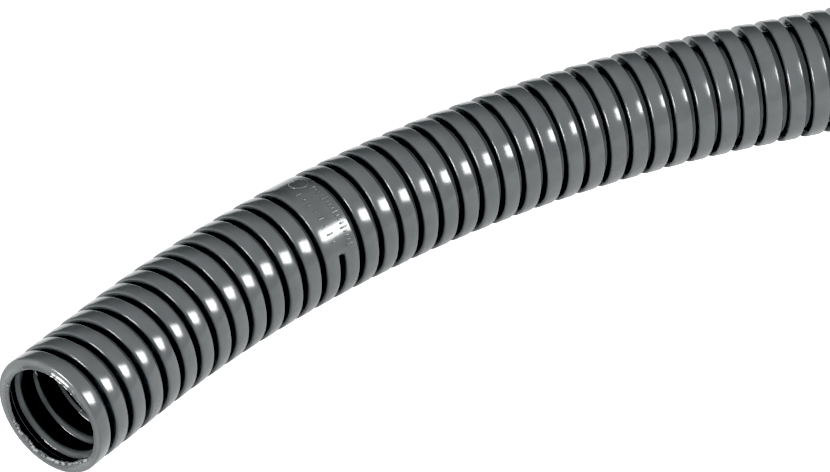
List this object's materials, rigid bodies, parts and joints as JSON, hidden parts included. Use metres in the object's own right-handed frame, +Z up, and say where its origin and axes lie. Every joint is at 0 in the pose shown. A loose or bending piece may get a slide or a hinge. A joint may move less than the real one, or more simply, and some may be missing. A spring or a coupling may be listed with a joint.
{
  "type": "corrugated conduit",
  "caption": "Flexible ring-ribbed plastic conduit that guards cables: a round tube of even closed waves with an open bore, gently bent near one cut end.",
  "frame": {"origin": "on the floor under the middle of the tube's bounding box, as the tube lies", "axes": "+X along the long straight run, towards its far end; +Z up from the floor; the bend and the other cut end lie towards -X and -Y"},
  "size_m": [0.994, 0.0678, 0.0212],
  "materials": {
    "grey_plastic": "satin"
  },
  "bodies": {
    "root": {"conduit": "grey_plastic"}
  },
  "joints": []
}
